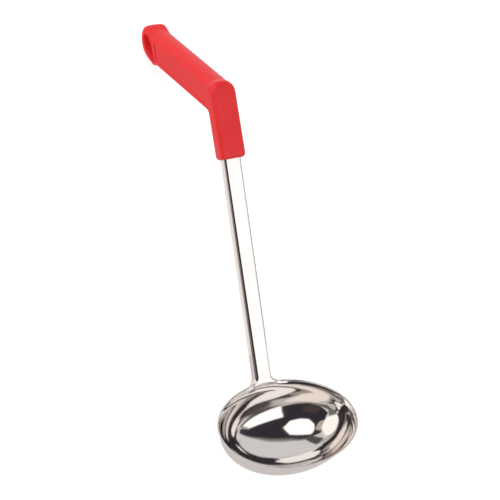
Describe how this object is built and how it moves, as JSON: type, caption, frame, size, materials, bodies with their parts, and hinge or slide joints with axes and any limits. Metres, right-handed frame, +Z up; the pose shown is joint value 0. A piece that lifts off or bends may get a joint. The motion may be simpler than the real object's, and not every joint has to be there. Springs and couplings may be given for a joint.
{
  "type": "soup ladle",
  "caption": "Soup ladle with an oval stainless steel bowl, a channel shank and a cranked red grip with a hanging eye.",
  "frame": {"origin": "centre of the box round the ladle, on the table it lies on", "axes": "+Y from the bowl to the tail of the grip, +Z up from the table, +X across the bowl"},
  "size_m": [0.1162, 0.367, 0.0886],
  "materials": {
    "polished_steel": "polished stainless steel",
    "grip_plastic": "satin moulded plastic"
  },
  "bodies": {
    "root": {"bowl_and_shank": "polished_steel", "grip": "grip_plastic"}
  },
  "joints": []
}
